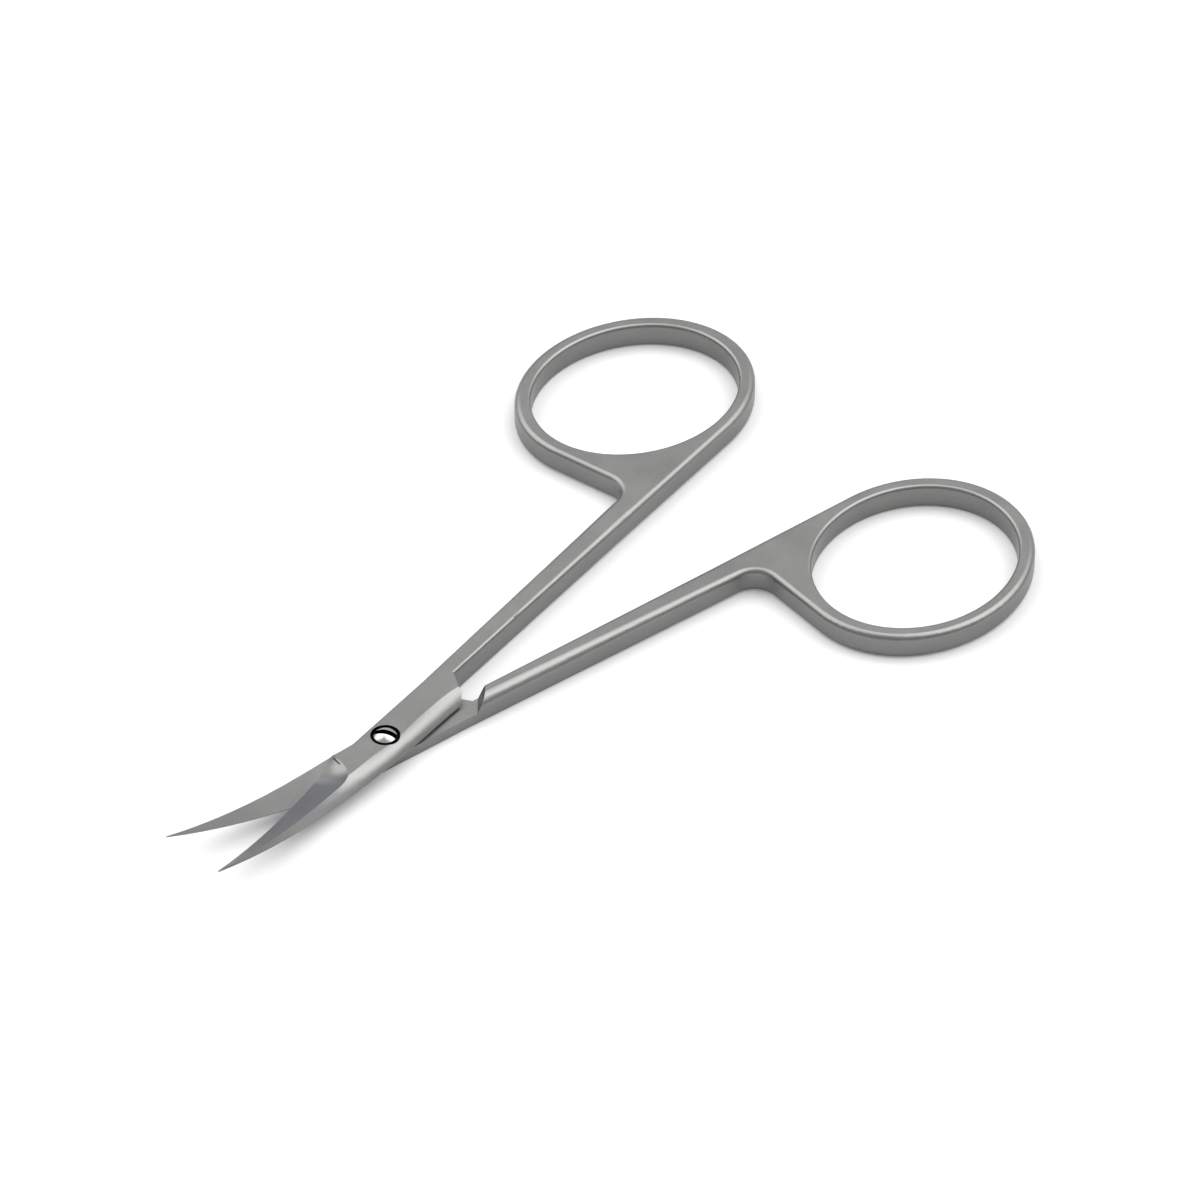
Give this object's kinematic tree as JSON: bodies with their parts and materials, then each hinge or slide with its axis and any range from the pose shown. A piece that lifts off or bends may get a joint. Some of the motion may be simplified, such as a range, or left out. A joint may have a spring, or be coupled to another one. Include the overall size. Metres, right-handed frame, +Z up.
{
  "type": "cuticle scissors",
  "caption": "Slim steel cuticle scissors with oval finger rings, straight shanks, a slotted pivot screw and upward-curved pointed blades.",
  "frame": {"origin": "on the pivot axis, at the level of the flat underside", "axes": "+X along the middle line towards the blade tips, +Z up along the pivot axis, out of the screw head"},
  "size_m": [0.0976, 0.0632, 0.0045],
  "materials": {
    "satin_steel": "fine satin, blasted",
    "polished_steel": "polished, turned"
  },
  "bodies": {
    "lower": {"lower_half": "satin_steel", "pivot_screw": "polished_steel"},
    "upper": {"upper_half": "satin_steel"}
  },
  "joints": [
    {"name": "pivot", "type": "hinge", "parent": "lower", "child": "upper", "pos_m": [0, 0, 0], "axis": [0, 0, 1], "range_deg": [-15.8, 74]}
  ]
}
